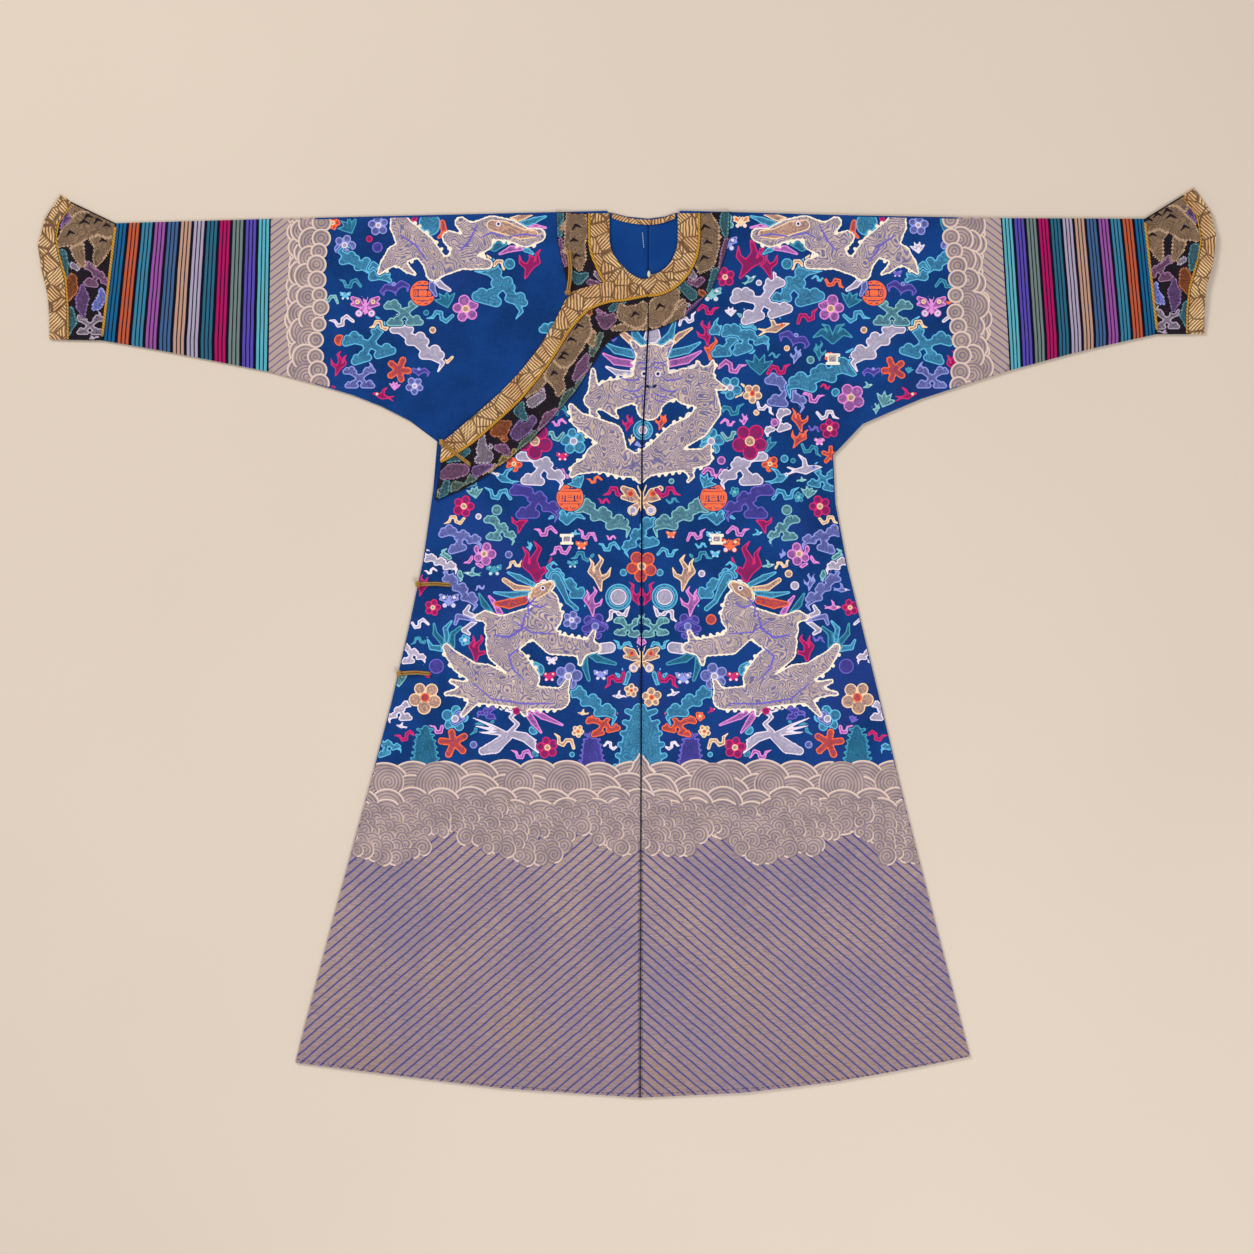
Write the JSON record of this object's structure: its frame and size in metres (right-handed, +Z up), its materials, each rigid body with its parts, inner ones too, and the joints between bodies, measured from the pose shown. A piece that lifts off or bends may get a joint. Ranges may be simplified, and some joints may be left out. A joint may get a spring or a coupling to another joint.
{
  "type": "chinese dragon robe",
  "caption": "Flat-laid Chinese dragon robe: blue figured silk with side-closing overlap, dark borders, gold bands, striped sleeves and horse-hoof cuffs.",
  "frame": {"origin": "on the surface the robe lies on, under the centre of its bounding box", "axes": "+X towards the wearer's left along the outspread sleeves, +Y from hem to neck, +Z up out of the front of the robe"},
  "size_m": [1.8866, 1.4565, 0.0178],
  "materials": {
    "figured_silk": "royal blue silk satin figured with greyed gold dragons, coloured clouds and a striped wave hem",
    "lining_silk": "plain blue silk lining with a centre-back seam",
    "striped_silk": "near-black silk with coloured rib stripes across the sleeve",
    "dark_silk": "near-black silk figured with taupe dragons and muted clouds",
    "gold_brocade": "gold brocade with fine dark fret lines",
    "yellow_piping": "yellow silk piping, twisted",
    "gold_cord": "gold braided cord toggles",
    "ivory_bead": "polished ivory-coloured bead"
  },
  "bodies": {
    "root": {"body_left": "figured_silk", "body_right": "figured_silk", "overlap": "figured_silk", "back_lining": "lining_silk", "sleeve_left": "striped_silk", "sleeve_right": "striped_silk", "cuff_left": "dark_silk", "cuff_right": "dark_silk", "yoke_border": "dark_silk", "collar_border": "dark_silk", "lapel_border": "dark_silk", "cuff_band_left": "gold_brocade", "cuff_band_right": "gold_brocade", "neck_band_left": "gold_brocade", "neck_band_right": "gold_brocade", "neck_band_back": "gold_brocade", "lapel_band": "gold_brocade", "cuff_piping_left": "yellow_piping", "cuff_piping_right": "yellow_piping", "neck_piping_left": "yellow_piping", "neck_piping_right": "yellow_piping", "lapel_piping": "yellow_piping", "toggle_lapel": "gold_cord", "toggle_armpit": "gold_cord", "toggle_side_upper": "gold_cord", "toggle_side_lower": "gold_cord", "neck_button": "ivory_bead"}
  },
  "joints": []
}
